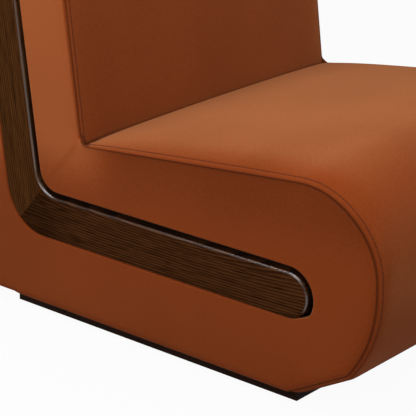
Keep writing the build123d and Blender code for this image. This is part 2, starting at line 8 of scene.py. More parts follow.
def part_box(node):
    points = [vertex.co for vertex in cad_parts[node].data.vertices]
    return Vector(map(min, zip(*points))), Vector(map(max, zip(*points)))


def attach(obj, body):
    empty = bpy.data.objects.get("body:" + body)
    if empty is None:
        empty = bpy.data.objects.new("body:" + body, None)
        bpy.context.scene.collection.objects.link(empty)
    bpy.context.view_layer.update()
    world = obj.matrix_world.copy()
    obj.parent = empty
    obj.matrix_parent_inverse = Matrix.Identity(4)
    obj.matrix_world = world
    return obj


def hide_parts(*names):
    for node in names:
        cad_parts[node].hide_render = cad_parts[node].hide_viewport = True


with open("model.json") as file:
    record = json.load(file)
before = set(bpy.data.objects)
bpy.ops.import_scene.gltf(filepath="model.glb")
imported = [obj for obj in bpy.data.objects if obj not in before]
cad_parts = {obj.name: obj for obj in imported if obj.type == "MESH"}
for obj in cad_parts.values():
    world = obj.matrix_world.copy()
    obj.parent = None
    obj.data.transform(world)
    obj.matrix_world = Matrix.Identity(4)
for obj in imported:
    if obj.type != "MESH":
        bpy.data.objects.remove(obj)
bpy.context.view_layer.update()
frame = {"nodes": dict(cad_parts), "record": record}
nodes = frame["nodes"]

# Lengths below are in millimetres and angles in degrees, in the frame of the CAD model.
# Meshes are scaled to metres as they are made.
MM = 0.001

# Side view of the upholstery, as in the CAD model apart from the chin, which is rounder here
HALF_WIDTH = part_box("seat_cover")[1][0] / MM
BOTTOM_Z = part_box("side_cover_left")[0][2] / MM
PLINTH_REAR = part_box("plinth_rear_board")[1][1] / MM
SEAT_DEPTH = 604.5
SEAT_SLOPE = 5.1
CREASE_Z = 335.0
CREASE_RADIUS = 15.0
NOSE_RADIUS = 137.0
CHIN_RISE = 70.0
CHIN_SETBACK = 49.0
CHIN_Z = 83.0
CHIN_RADIUS = 225.0
KINK_RADIUS = 26.0
UNDERCUT = 29.0
TOE_RADIUS = 45.0
RECLINE = 7.0
BACK_RISE = 426.0
BACK_THICKNESS = 304.0
TOP_RADIUS = 137.0
HEEL_RADIUS = 50.0
REAR_SEAM_DROP = 137.0
LEAN = math.radians(RECLINE)
PITCH = math.radians(SEAT_SLOPE)
NOSE_SWELL = 8.0  # of the CAD form
NOSE_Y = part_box("seat_cover")[0][1] / MM + NOSE_SWELL
CREASE_Y = NOSE_Y + SEAT_DEPTH

# Crown: how it spreads over the width, and its height at mid width run by run
SHOULDER = 0.62  # share of the crown in the shoulder, and how quickly the shoulder rises
SHOULDER_REACH = 18.0
FRONT_SHOULDER = 0.8
FRONT_REACH = 7.0
DOME_HEIGHT = 22.0  # of the seat's top, and where it rises and ends ahead of the crease
DOME_REACH = 80.0
DOME_START = 330.0
DOME_END = 600.0
KINK_SWELL = 80.0  # growth of the kink's radius towards mid width
SEAT_CROWN = (8.0, 24.0)
BACK_CROWN = (6.0, 16.0)
NOSE_CROWN = 13.0
CHIN_CROWN = 8.0
UNDERCUT_CROWN = 11.0
TOP_CROWN = 8.0
REAR_CROWN = 8.0

# Inlay and its channel
INLAY_WIDTH = 76.0
OPEN_GAP = 10.0  # of the cloth above and ahead of the wood
CLOSED_GAP = 0.8  # and below and behind it
INLAY_INNER_RADIUS = 49.0
INLAY_OUTER_RADIUS = 85.0
RAIL_Z = 188.0
RAIL_NOSE_MARGIN = 126.0
STILE_DEPTH = 153.9
STILE_TOP_MARGIN = 128.0

# Sewing
SEAM_DEPTH = 1.6
SEAM_BULGE = 5.0  # how far the seat's side seams stand out over the side panels
BULGE_FADE = 16.0
BULGE_FROM = 0.2  # upward share of the normal at which the bulge starts, and over which it grows
BULGE_SPAN = 0.7
SEAM_WIDTH = 2.2
STITCH_INSET = 5.5
STITCH_PITCH = 4.4
STITCH_LIFT = 0.3
STITCH_LENGTH = 2.7
STITCH_RADIUS = 0.85
STITCH_GROOVE = 0.4
GROOVE_WIDTH = 1.5
CLOTH_THICKNESS = 3.0

# Photograph's camera
FRAME_PIXELS = 416
FOCAL_PIXELS = 1798.7
CAMERA_AZIMUTH = -49.39
CAMERA_ELEVATION = 20.32
CAMERA_PLACE = (-2347.7, -1871.3, 1273.4)
SENSOR = 36.0


# Outline of the side view

def back_point(depth, rise):
    """A point behind the front line of the back and up along it."""
    return np.array([CREASE_Y + depth * math.cos(LEAN) + rise * math.sin(LEAN),
                     CREASE_Z + rise * math.cos(LEAN) - depth * math.sin(LEAN)])


def back_line_y(depth, z):
    """Where the line this deep behind the front of the back stands at height z."""
    return CREASE_Y + (z - CREASE_Z) * math.tan(LEAN) + depth / math.cos(LEAN)


def meet(first, second):
    """The corner of two runs, each an outward normal and its distance from the origin."""
    (a, b), c = first
    (d, e), f = second
    det = a * e - b * d
    return np.array([(c * e - b * f) / det, (a * f - c * d) / det])


def outline_corners(crown, front):
    """Corners of the side view from the crease round over the back, swollen by shares of the crown."""
    seat_tilt = PITCH + crown * math.atan2(SEAT_CROWN[1] - SEAT_CROWN[0], SEAT_DEPTH)
    back_tilt = LEAN - crown * math.atan2(BACK_CROWN[1] - BACK_CROWN[0], BACK_RISE)
    cut = math.radians(UNDERCUT)
    chin_length = math.hypot(CHIN_RISE, CHIN_SETBACK)
    chin = np.array([NOSE_Y + CHIN_SETBACK, CHIN_Z])
    crease = back_point(0, 0)

    def run(normal, point, growth):
        return normal, normal[0] * point[0] + normal[1] * point[1] + growth

    runs = [
        run((math.sin(seat_tilt), math.cos(seat_tilt)), crease, crown * SEAT_CROWN[0]),
        run((-math.cos(back_tilt), math.sin(back_tilt)), crease, crown * BACK_CROWN[0]),
        run((math.sin(LEAN), math.cos(LEAN)), back_point(0, BACK_RISE), crown * TOP_CROWN),
        run((math.cos(LEAN), -math.sin(LEAN)), back_point(BACK_THICKNESS, 0), crown * REAR_CROWN),
        run((0.0, -1.0), (0.0, BOTTOM_Z), 0.0),
        run((-math.sin(cut), -math.cos(cut)), chin, front * UNDERCUT_CROWN),
        run((-CHIN_RISE / chin_length, -CHIN_SETBACK / chin_length), chin, front * CHIN_CROWN),
        run((-1.0, 0.0), (NOSE_Y, 0.0), front * NOSE_CROWN),
    ]
    return [meet(a, b) for a, b in zip(runs, runs[1:] + runs[:1])]


# Corner by corner: crease, top front, top rear, heel, toe, kink, chin, nose
CORNER_RADII = (CREASE_RADIUS, TOP_RADIUS, TOP_RADIUS, HEEL_RADIUS,
                TOE_RADIUS, KINK_RADIUS, CHIN_RADIUS, NOSE_RADIUS)
CREASE, TOP_FRONT, TOP_REAR, HEEL, TOE, KINK, CHIN, NOSE = range(8)


def arc_between(before, corner, after, radius, count):
    """Points of the fillet at a corner, from its first tangent point to its last."""
    first = (before - corner) / np.linalg.norm(before - corner)
    last = (after - corner) / np.linalg.norm(after - corner)
    half = math.acos(np.clip(first @ last, -1, 1)) / 2
    start = corner + first * radius / math.tan(half)
    middle = (first + last) / np.linalg.norm(first + last)
    centre = corner + middle * radius / math.sin(half)
    a = start - centre
    turn = math.pi - 2 * half
    sign = 1.0 if a[0] * (corner - centre)[1] - a[1] * (corner - centre)[0] > 0 else -1.0
    angles = sign * np.linspace(0, turn, count)
    return np.stack([centre[0] + a[0] * np.cos(angles) - a[1] * np.sin(angles),
                     centre[1] + a[0] * np.sin(angles) + a[1] * np.cos(angles)], axis=1)


def straight(p, q, count):
    """Points between two ends, leaving both out."""
    t = np.linspace(0, 1, count + 2)[1:-1, None]
    return p + (q - p) * t


# Points on each run of the side view
CREASE_STEPS = 9
SEAT_STEPS = 74
BACK_STEPS = 44
FILLET_STEPS = 26
UNDERCUT_STEPS = 14
CHIN_STEPS = 10
BOTTOM_STEPS = 60
SHORT_STEPS = 6
# How the cloth dives into the crease
TUCK_DEPTH = 16.0
TUCK_RADIUS = 15.0


def round_points(crown, front, tucked):
    """The side view in four panels: back, rear, bottom and seat. Tucked ends dive into the crease."""
    corners = outline_corners(crown, front)
    arcs = [arc_between(corners[i - 1], corners[i], corners[(i + 1) % 8],
                        CORNER_RADII[i] + (KINK_SWELL * crown ** 2 if i == KINK else 0),
                        2 * CREASE_STEPS - 1 if i == CREASE else FILLET_STEPS) for i in range(8)]
    crease = arcs[CREASE]
    seat_end, back_start = crease[:CREASE_STEPS], crease[CREASE_STEPS - 1:]
    if tucked:
        corner = corners[CREASE]
        along_back = (corners[TOP_FRONT] - corner) / np.linalg.norm(corners[TOP_FRONT] - corner)
        foot = corner - along_back * TUCK_DEPTH
        up_back = np.linspace(0, np.linalg.norm(crease[-1] - foot), CREASE_STEPS)
        back_start = foot + along_back * up_back[:, None]
        lip = arc_between(corners[NOSE], corner, foot, TUCK_RADIUS, CREASE_STEPS - 2)
        blend_in = crease[0] if np.linalg.norm(crease[0] - corner) > TUCK_RADIUS else lip[0]
        seat_end = np.vstack([blend_in[None], lip, foot[None]])
    rear_seam = back_point(BACK_THICKNESS + crown * REAR_CROWN, BACK_RISE - REAR_SEAM_DROP)
    back = np.vstack([back_start, straight(back_start[-1], arcs[TOP_FRONT][0], BACK_STEPS), arcs[TOP_FRONT],
                      straight(arcs[TOP_FRONT][-1], arcs[TOP_REAR][0], SHORT_STEPS), arcs[TOP_REAR][:-1],
                      rear_seam[None]])
    hem_rear = np.array([PLINTH_REAR, BOTTOM_Z])
    rear = np.vstack([rear_seam[None], straight(rear_seam, arcs[HEEL][0], BACK_STEPS), arcs[HEEL],
                      straight(arcs[HEEL][-1], hem_rear, SHORT_STEPS), hem_rear[None]])
    toe_mid = len(arcs[TOE]) // 2
    seat = np.vstack([arcs[TOE][toe_mid:], straight(arcs[TOE][-1], arcs[KINK][0], UNDERCUT_STEPS), arcs[KINK],
                      straight(arcs[KINK][-1], arcs[CHIN][0], CHIN_STEPS), arcs[CHIN],
                      straight(arcs[CHIN][-1], arcs[NOSE][0], SHORT_STEPS), arcs[NOSE],
                      straight(arcs[NOSE][-1], seat_end[0], SEAT_STEPS), seat_end])
    bottom = np.vstack([straight(hem_rear, arcs[TOE][0], BOTTOM_STEPS), arcs[TOE][:toe_mid]])
    return {"back": back, "rear": rear, "bottom": bottom, "seat": seat}


# Distances from the side seam at which the bands have a column of points
BAND_STATIONS = np.array([0, 0.8, 1.7, 2.8, 3.8, 4.6, 5.1, 5.5, 5.9, 6.6, 7.8, 9.5, 11.8, 14, 17, 21, 26,
                          33, 43, 58, 80, 110, 150, 200, 260, HALF_WIDTH])
CREASE_BLEND = 11.0


def crown_share(distance, shoulder, reach):
    """Share of the crown at a distance from the side seam: a round shoulder, then a slow swell."""
    swell = 1 - (1 - distance / HALF_WIDTH) ** 2
    return shoulder * (1 - np.exp(-distance / reach)) + (1 - shoulder) * swell


def smooth(t):
    """A smooth step from 0 to 1."""
    t = np.clip(t, 0, 1)
    return t * t * (3 - 2 * t)


def path_normals(points):
    """Unit normals along a path in side view, on its right-hand side."""
    ahead = np.gradient(points, axis=0)
    ahead /= np.maximum(np.linalg.norm(ahead, axis=1, keepdims=True), 1e-9)
    return np.stack([ahead[:, 1], -ahead[:, 0]], axis=1)


def sewn_dip(distance):
    """How far the cloth is drawn in near the seam and along the row of topstitching."""
    seam = SEAM_DEPTH * np.exp(-(distance / SEAM_WIDTH) ** 2)
    groove = STITCH_GROOVE * np.exp(-((distance - STITCH_INSET) / GROOVE_WIDTH) ** 2)
    return seam + groove


def seam_bulge(normals, distance):
    """How far a seam that faces up stands out sideways, fading away from it."""
    return SEAM_BULGE * smooth((normals[:, 1] - BULGE_FROM) / BULGE_SPAN) * math.exp(-distance / BULGE_FADE)


def seat_dome(points, normals, share):
    """Swell of the seat's top: nothing at the crease, most ahead of it, and gone over the nose."""
    ahead = np.max(points[:, 0]) - points[:, 0]
    rise = (1 - np.exp(-ahead / DOME_REACH)) * smooth((DOME_END - ahead) / (DOME_END - DOME_START))
    return DOME_HEIGHT * share * rise * np.clip(normals[:, 1], 0, 1)


def band_column(panel, distance):
    """One column of a band panel at a distance from the side seam: side view, outward normals and x."""
    crown = crown_share(distance, SHOULDER, SHOULDER_REACH)
    front = crown_share(distance, FRONT_SHOULDER, FRONT_REACH)
    open_path = round_points(crown, front, False)[panel]
    tucked_path = round_points(crown, front, True)[panel]
    weight = smooth(distance / CREASE_BLEND)
    points = open_path + (tucked_path - open_path) * weight
    normals = path_normals(points) * OUTWARD
    steady = path_normals(open_path) * OUTWARD
    x = HALF_WIDTH - distance + seam_bulge(steady, distance)
    if panel == "seat":
        points = points + steady * seat_dome(points, steady, crown)[:, None]
    return points - normals * sewn_dip(distance), normals, x


# Sign that turns the normals outwards, read off the rear, which faces backwards
_probe = round_points(0.0, 0.0, False)["rear"]
OUTWARD = 1.0 if path_normals(_probe)[5][0] > 0 else -1.0


# Mesh helpers

def grid_faces(rows, columns, close=False):
    """Quads of a grid of points stored row by row."""
    faces = []
    for i in range(rows if close else rows - 1):
        j = (i + 1) % rows
        for k in range(columns - 1):
            faces.append((i * columns + k, i * columns + k + 1, j * columns + k + 1, j * columns + k))
    return faces


def new_piece(name, points, faces, material):
    """A smooth mesh piece from points in millimetres."""
    mesh = bpy.data.meshes.new(name)
    mesh.from_pydata([tuple(p) for p in np.asarray(points) * MM], [], faces)
    mesh.validate()
    mesh.polygons.foreach_set("use_smooth", [True] * len(mesh.polygons))
    mesh.materials.append(material)
    piece = bpy.data.objects.new(name, mesh)
    bpy.context.scene.collection.objects.link(piece)
    return piece


def thicken(piece, thickness):
    """Gives a sheet its cloth thickness, inwards."""
    solid = piece.modifiers.new("thickness", "SOLIDIFY")
    solid.thickness = thickness * MM
    solid.offset = -1.0
    solid.use_rim = True


# Materials

def node_material(name):
    """A new material, its node tree and its shader."""
    material = bpy.data.materials.new(name)
    material.use_nodes = True
    tree = material.node_tree
    shader = tree.nodes["Principled BSDF"]
    return material, tree, shader


def add_node(tree, kind, **settings):
    """A new node, with values for its sockets or its own settings."""
    node = tree.nodes.new(kind)
    for key, value in settings.items():
        if key in node.inputs:
            node.inputs[key].default_value = value
        else:
            setattr(node, key, value)
    return node


def ramp(tree, source, stops):
    """A colour ramp through the given places and colours."""
    node = tree.nodes.new("ShaderNodeValToRGB")
    while len(node.color_ramp.elements) < len(stops):
        node.color_ramp.elements.new(0.5)
    for element, (place, colour) in zip(node.color_ramp.elements, stops):
        element.position = place
        element.color = (*colour, 1.0)
    tree.links.new(source, node.inputs["Fac"])
    return node.outputs["Color"]


def between(tree, source, start, end, low=0.0, high=1.0):
    """A smooth step of a value, from low at start to high at end."""
    node = add_node(tree, "ShaderNodeMapRange", interpolation_type="SMOOTHSTEP")
    for key, value in (("From Min", start), ("From Max", end), ("To Min", low), ("To Max", high)):
        node.inputs[key].default_value = value
    tree.links.new(source, node.inputs["Value"])
    return node.outputs["Result"]


def combine(tree, operation, first, second):
    """Two values, or a value and a number, put through one operation."""
    node = add_node(tree, "ShaderNodeMath", operation=operation)
    tree.links.new(first, node.inputs[0])
    if isinstance(second, float):
        node.inputs[1].default_value = second
    else:
        tree.links.new(second, node.inputs[1])
    return node.outputs[0]


def mix_colours(tree, blend, factor, first, second):
    """Two colours mixed by a factor, where each may be a socket or a plain value."""
    node = add_node(tree, "ShaderNodeMix", data_type="RGBA", blend_type=blend)
    for socket, value in ((node.inputs[0], factor), (node.inputs[6], first), (node.inputs[7], second)):
        if isinstance(value, bpy.types.NodeSocket):
            tree.links.new(value, socket)
        else:
            socket.default_value = value
    return node.outputs[2]


RING_SCALE = 66.0
MITRE_NEAR = 0.12
MITRE_FAR = 0.24
# Velvet colour seen straight on, and the colour of its painted sheen at a slant
VELVET_DEEP = (0.180, 0.0335, 0.0062, 1.0)
VELVET_PAINTED_SHEEN = (0.265, 0.086, 0.0290, 1.0)
# Darkest share of the velvet's colour in its painted seam shade
PAINTED_SEAM_SHADE = 0.48
# How much painted light and painted shade the upper side panels get, and where, in metres
PAINTED_SIDE_LIGHT = 0.38
PAINTED_SIDE_SHADE = 0.20
FRONT_PAINTED_SHEEN = 0.16  # painted sheen on the inside back and the nose, where they face the front
SIDE_LIGHT_FROM = 0.235
SIDE_LIGHT_TO = 0.345
SIDE_LIGHT_FRONT = 0.02
SIDE_LIGHT_REAR = 0.15


def velvet_material():
    """Short-pile velvet: deep where it is seen straight on, lighter at a slant by a painted sheen on faces
    turned up, with painted light and shade on the side panels, painted shade in the seams and a mottled nap.
    """
    material, tree, shader = node_material("velvet_rust")
    place = add_node(tree, "ShaderNodeTexCoord").outputs["Object"]
    patches = add_node(tree, "ShaderNodeTexNoise", Scale=5.0, Detail=3.0, Roughness=0.45)
    nap = add_node(tree, "ShaderNodeTexNoise", Scale=420.0, Detail=4.0, Roughness=0.65)
    fibre = add_node(tree, "ShaderNodeTexNoise", Scale=2400.0, Detail=2.0, Roughness=0.7)
    for texture in (patches, nap, fibre):
        tree.links.new(place, texture.inputs["Vector"])
    # Painted sheen: the base colour lightens at a slant, much less on faces turned down
    facing = add_node(tree, "ShaderNodeLayerWeight", Blend=0.5).outputs["Facing"]
    normal = tree.nodes.new("ShaderNodeSeparateXYZ")
    tree.links.new(add_node(tree, "ShaderNodeNewGeometry").outputs["Normal"], normal.inputs[0])
    upward = between(tree, normal.outputs["Z"], -0.35, 0.15, 0.1, 1.0)
    painted_light = combine(tree, "MULTIPLY", between(tree, facing, 0.22, 0.86), upward)
    axes = tree.nodes.new("ShaderNodeSeparateXYZ")
    tree.links.new(place, axes.inputs[0])
    # Painted shade towards the nose and painted light towards the back on the upper side panels, held in
    # lift, which shifts both the sheen and the base colour
    sideways = between(tree, combine(tree, "ABSOLUTE", normal.outputs["X"], 0.0), 0.75, 0.98)
    side_band = between(tree, axes.outputs["Z"], SIDE_LIGHT_FROM, SIDE_LIGHT_TO)
    lift = combine(tree, "MULTIPLY", sideways, side_band)
    towards_back = between(tree, axes.outputs["Y"], SIDE_LIGHT_FRONT, SIDE_LIGHT_REAR, -PAINTED_SIDE_SHADE, PAINTED_SIDE_LIGHT)
    lift = combine(tree, "MULTIPLY", lift, towards_back)
    painted_side_brightening = combine(tree, "MAXIMUM", lift, 0.0)
    painted_light = combine(tree, "ADD", painted_light, painted_side_brightening)
    # Painted sheen on faces turned to the front
    painted_light = combine(tree, "ADD", painted_light, between(tree, normal.outputs["Y"], -0.6, -0.95, 0.0, FRONT_PAINTED_SHEEN))
    colour = mix_colours(tree, "MIX", painted_light, VELVET_DEEP, VELVET_PAINTED_SHEEN)
    mottle = between(tree, nap.outputs["Fac"], 0.3, 0.7, -0.12, 0.12)
    shade = combine(tree, "ADD", between(tree, patches.outputs["Fac"], 0.3, 0.7, 0.95, 1.05), lift)
    shade = combine(tree, "ADD", shade, mottle)
    # Painted shade in the seams and the crease, read from the seam attribute
    seam = add_node(tree, "ShaderNodeAttribute", attribute_name="seam").outputs["Fac"]
    shade = combine(tree, "MULTIPLY", shade, between(tree, seam, 0.05, 0.9, 1.0, PAINTED_SEAM_SHADE))
    tree.links.new(mix_colours(tree, "MULTIPLY", 1.0, colour, shade), shader.inputs["Base Color"])
    shader.inputs["Roughness"].default_value = 0.9
    shader.inputs["Specular IOR Level"].default_value = 0.05
    shader.inputs["Sheen Weight"].default_value = 0.08
    shader.inputs["Sheen Roughness"].default_value = 0.35
    shader.inputs["Sheen Tint"].default_value = (1.0, 0.55, 0.32, 1.0)
    bump = add_node(tree, "ShaderNodeBump", Strength=0.25, Distance=0.0006)
    tree.links.new(fibre.outputs["Fac"], bump.inputs["Height"])
    tree.links.new(bump.outputs["Normal"], shader.inputs["Normal"])
    return material


def wood_material(name, turn, ring_place, figure, stain, edge_gloss, mitre_tone=1.0):
    """Dark-stained open-grain wood, with its grain along Y turned about X and its rings about ring_place."""
    material, tree, shader = node_material(name)
    place = add_node(tree, "ShaderNodeTexCoord").outputs["Object"]
    align = add_node(tree, "ShaderNodeMapping", vector_type="POINT")
    align.inputs["Rotation"].default_value = (math.radians(turn), 0, 0)
    tree.links.new(place, align.inputs["Vector"])
    board = align.outputs["Vector"]

    def stretched(scale, shift=(0, 0, 0)):
        node = add_node(tree, "ShaderNodeMapping", vector_type="POINT")
        node.inputs["Scale"].default_value = scale
        node.inputs["Location"].default_value = shift
        tree.links.new(board, node.inputs["Vector"])
        return node.outputs["Vector"]

    rings = add_node(tree, "ShaderNodeTexWave", wave_type="RINGS", rings_direction="X", wave_profile="SAW",
                     Scale=RING_SCALE, Distortion=figure, Detail=2.0)
    rings.inputs["Detail Scale"].default_value = 0.5
    rings.inputs["Detail Roughness"].default_value = 0.5
    tree.links.new(stretched((1.0, 0.10, 1.0), ring_place), rings.inputs["Vector"])
    streaks = add_node(tree, "ShaderNodeTexNoise", Scale=1.0, Detail=5.0, Roughness=0.6)
    tree.links.new(stretched((180.0, 7.0, 180.0)), streaks.inputs["Vector"])
    pores = add_node(tree, "ShaderNodeTexNoise", Scale=1.0, Detail=2.0, Roughness=0.5)
    tree.links.new(stretched((900.0, 26.0, 900.0)), pores.inputs["Vector"])
    figure_mix = add_node(tree, "ShaderNodeMath", operation="MULTIPLY_ADD")
    figure_mix.inputs[1].default_value = 0.55
    tree.links.new(rings.outputs["Fac"], figure_mix.inputs[0])
    half_streaks = add_node(tree, "ShaderNodeMath", operation="MULTIPLY")
    half_streaks.inputs[1].default_value = 0.55
    tree.links.new(streaks.outputs["Fac"], half_streaks.inputs[0])
    tree.links.new(half_streaks.outputs[0], figure_mix.inputs[2])
    colour = ramp(tree, figure_mix.outputs[0], [(0.20, stain[0]), (0.45, stain[1]), (0.75, stain[2])])
    pore_mask = ramp(tree, pores.outputs["Fac"], [(0.36, (0.25, 0.25, 0.25)), (0.48, (1, 1, 1))])
    darken = add_node(tree, "ShaderNodeMix", data_type="RGBA", blend_type="MULTIPLY")
    darken.inputs["Factor"].default_value = 0.85
    tree.links.new(colour, darken.inputs["A"])
    tree.links.new(pore_mask, darken.inputs["B"])
    axes = tree.nodes.new("ShaderNodeSeparateXYZ")
    tree.links.new(place, axes.inputs[0])
    mitre = between(tree, axes.outputs["Y"], MITRE_NEAR, MITRE_FAR, 1.0, mitre_tone)
    toned = mix_colours(tree, "MULTIPLY", 1.0, darken.outputs["Result"], mitre)
    tree.links.new(toned, shader.inputs["Base Color"])
    shader.inputs["Roughness"].default_value = 0.28
    if edge_gloss:
        normal = tree.nodes.new("ShaderNodeSeparateXYZ")
        tree.links.new(add_node(tree, "ShaderNodeNewGeometry").outputs["Normal"], normal.inputs[0])
        sideways = combine(tree, "ABSOLUTE", normal.outputs["X"], 0.0)
        ahead = combine(tree, "SUBTRACT", normal.outputs["Z"], normal.outputs["Y"])
        rounded = between(tree, sideways, 0.985, 0.80)
        polish = combine(tree, "MULTIPLY", rounded, between(tree, ahead, 0.0, 0.4))
        tree.links.new(polish, shader.inputs["Specular IOR Level"])
    else:
        shader.inputs["Specular IOR Level"].default_value = 0.02
    bump = add_node(tree, "ShaderNodeBump", Strength=0.08, Distance=0.0003)
    tree.links.new(pore_mask, bump.inputs["Height"])
    tree.links.new(bump.outputs["Normal"], shader.inputs["Normal"])
    return material


def plain_material(name, dark, light, scale, roughness, bump_depth, metallic=0.0):
    """A speckled matt or metal surface for the small and hidden pieces."""
    material, tree, shader = node_material(name)
    place = add_node(tree, "ShaderNodeTexCoord").outputs["Object"]
    grain = add_node(tree, "ShaderNodeTexNoise", Scale=scale, Detail=4.0, Roughness=0.6)
    tree.links.new(place, grain.inputs["Vector"])
    colour = ramp(tree, grain.outputs["Fac"], [(0.3, dark), (0.7, light)])
    tree.links.new(colour, shader.inputs["Base Color"])
    shader.inputs["Roughness"].default_value = roughness
    shader.inputs["Metallic"].default_value = metallic
    shader.inputs["Specular IOR Level"].default_value = 0.15
    bump = add_node(tree, "ShaderNodeBump", Strength=0.3, Distance=bump_depth)
    tree.links.new(grain.outputs["Fac"], bump.inputs["Height"])
    tree.links.new(bump.outputs["Normal"], shader.inputs["Normal"])
    return material


velvet = velvet_material()
BROWN_STAIN = ((0.011, 0.0036, 0.0013), (0.036, 0.0115, 0.0037), (0.071, 0.0250, 0.0080))
OLIVE_STAIN = ((0.017, 0.0058, 0.0018), (0.047, 0.0160, 0.0046), (0.082, 0.0310, 0.0092))
PLINTH_STAIN = ((0.006, 0.0021, 0.0011), (0.013, 0.0043, 0.0019), (0.022, 0.0074, 0.0032))
rail_wood = wood_material("inlay_wood_rail", 0.0, (0.0, 0.004, -0.236), 2.8, BROWN_STAIN, True, 0.62)
stile_wood = wood_material("inlay_wood_stile", RECLINE - 90.0, (0.0, 0.0, 0.55), 1.6, OLIVE_STAIN, True)
plinth_wood = wood_material("plinth_wood", 0.0, (0.0, 0.0, 0.4), 1.5, PLINTH_STAIN, False)
# Rust thread, darkened past its own colour to carry the painted shade of the stitch holes
thread = plain_material("thread_painted_shade", (0.045, 0.008, 0.003), (0.085, 0.018, 0.006), 3000.0, 0.8, 0.0002)


# Upholstery

SEAM_SHADE = 1.4  # reach of the painted shade in a seam
CREASE_SHADE = 0.5  # and of the painted shade above the crease


def both_sides():
    """Columns across the chair from the left seam to the right one: distance from the seam and side."""
    left = [(d, 1) for d in BAND_STATIONS]
    return left + [(d, -1) for d, _ in reversed(left[:-1])]


def shade_seams(piece, values):
    """Stores how deep in a seam or the crease each point lies, for the velvet to darken there with a painted
    shade.
    """
    layer = piece.data.attributes.new("seam", "FLOAT", "POINT")
    layer.data.foreach_set("value", np.asarray(values, dtype=np.float32).ravel())


def band_piece(name, panel):
    """One panel of the band across the chair, from side seam to side seam."""
    columns, shades = [], []
    for distance, side in both_sides():
        points, _, x = band_column(panel, distance)
        run = lengths(points)
        columns.append(np.column_stack([side * x, points]))
        # Painted shade along the side seams, and in the crease or along the rear panel's top seam
        shade = np.full(len(points), math.exp(-(distance / SEAM_SHADE) ** 2))
        if panel == "seat":
            shade = np.maximum(shade, np.exp(-((run[-1] - run) / (TUCK_DEPTH - CREASE_SHADE)) ** 6))
        if panel == "back":
            shade = np.maximum(shade, np.exp(-(run / (CREASE_SHADE + TUCK_DEPTH)) ** 6))
        if panel == "rear":
            shade = np.maximum(shade, np.exp(-(run / SEAM_SHADE) ** 2))
        shades.append(shade)
    grid = np.stack(columns, axis=1)
    rows, count = grid.shape[:2]
    piece = new_piece(name, grid.reshape(-1, 3), grid_faces(rows, count), velvet)
    shade_seams(piece, np.stack(shades, axis=1))
    thicken(piece, CLOTH_THICKNESS)
    return piece


# Points on each run of the channel
ARC_STEPS = 25
END_STEPS = 41
STILE_STEPS = 40
RAIL_STEPS = 60
GAP_TURN = 0.35  # how far round its ends the channel turns from open to closed


def ribbon_loop(grow):
    """The channel's outline, and the places on it that face the crease, the top, the heel and the nose."""
    half = INLAY_WIDTH / 2 + grow
    low, high = RAIL_Z - half, RAIL_Z + half
    rail_end = np.array([NOSE_Y + RAIL_NOSE_MARGIN + INLAY_WIDTH / 2, RAIL_Z])
    stile_rise = BACK_RISE - STILE_TOP_MARGIN - INLAY_WIDTH / 2
    stile_end = back_point(STILE_DEPTH, stile_rise)
    inner = np.array([back_line_y(STILE_DEPTH - half, high), high])
    outer = np.array([back_line_y(STILE_DEPTH + half, low), low])
    front_top = np.array([rail_end[0], high])
    front_low = np.array([rail_end[0], low])
    stile_front = back_point(STILE_DEPTH - half, stile_rise)
    stile_rear = back_point(STILE_DEPTH + half, stile_rise)
    inner_arc = arc_between(front_top, inner, stile_front, INLAY_INNER_RADIUS - grow, ARC_STEPS)
    outer_arc = arc_between(stile_rear, outer, front_low, INLAY_OUTER_RADIUS + grow, ARC_STEPS)
    turn = np.linspace(0, math.pi, END_STEPS)
    up = np.array([math.sin(LEAN), math.cos(LEAN)])
    front = np.array([-math.cos(LEAN), math.sin(LEAN)])
    top_arc = stile_end + half * (np.cos(turn)[:, None] * front + np.sin(turn)[:, None] * up)
    nose_arc = rail_end + half * np.stack([-np.sin(turn), -np.cos(turn)], axis=1)
    half_arc, half_end = ARC_STEPS // 2, END_STEPS // 2
    pieces = [inner_arc[half_arc:], straight(inner_arc[-1], top_arc[0], STILE_STEPS), top_arc,
              straight(top_arc[-1], outer_arc[0], STILE_STEPS), outer_arc,
              straight(outer_arc[-1], nose_arc[0], RAIL_STEPS), nose_arc,
              straight(nose_arc[-1], inner_arc[0], RAIL_STEPS), inner_arc[:half_arc + 1]]
    loop = np.vstack(pieces)
    starts = np.cumsum([0] + [len(p) for p in pieces])
    anchors = [0, starts[2] + half_end, starts[4] + half_arc, starts[6] + half_end, len(loop) - 1]
    return loop, anchors


def channel_loop():
    """Edge of the cloth round the inlay: open above and ahead of the wood, closed below and behind it."""
    wide, anchors = ribbon_loop(OPEN_GAP)
    tight, _ = ribbon_loop(CLOSED_GAP)
    outward = wide - tight
    outward /= np.linalg.norm(outward, axis=1, keepdims=True)
    facing = (outward[:, 1] - outward[:, 0]) / math.sqrt(2)
    weight = smooth((facing + GAP_TURN) / (2 * GAP_TURN))[:, None]
    return tight + (wide - tight) * weight, anchors


def lengths(points):
    """Distance along a path to each of its points."""
    return np.concatenate([[0], np.cumsum(np.linalg.norm(np.diff(points, axis=0), axis=1))])


def side_loop():
    """The side seam as one closed loop from the crease round, with the anchors that the channel has too."""
    parts = {p: band_column(p, 0.0) for p in ("back", "rear", "seat")}
    bottom = round_points(0.0, 0.0, False)["bottom"]
    loop = np.vstack([parts["back"][0], parts["rear"][0][1:], bottom, parts["seat"][0]])
    x = np.concatenate([parts["back"][2], parts["rear"][2][1:],
                        np.full(len(bottom), HALF_WIDTH), parts["seat"][2]])
    top = len(parts["back"][0]) - FILLET_STEPS - SHORT_STEPS // 2 - 1
    heel = len(parts["back"][0]) + BACK_STEPS + FILLET_STEPS // 2
    nose = len(loop) - CREASE_STEPS - SEAT_STEPS - FILLET_STEPS
    return loop, x, [0, top, heel, nose, len(loop) - 1]


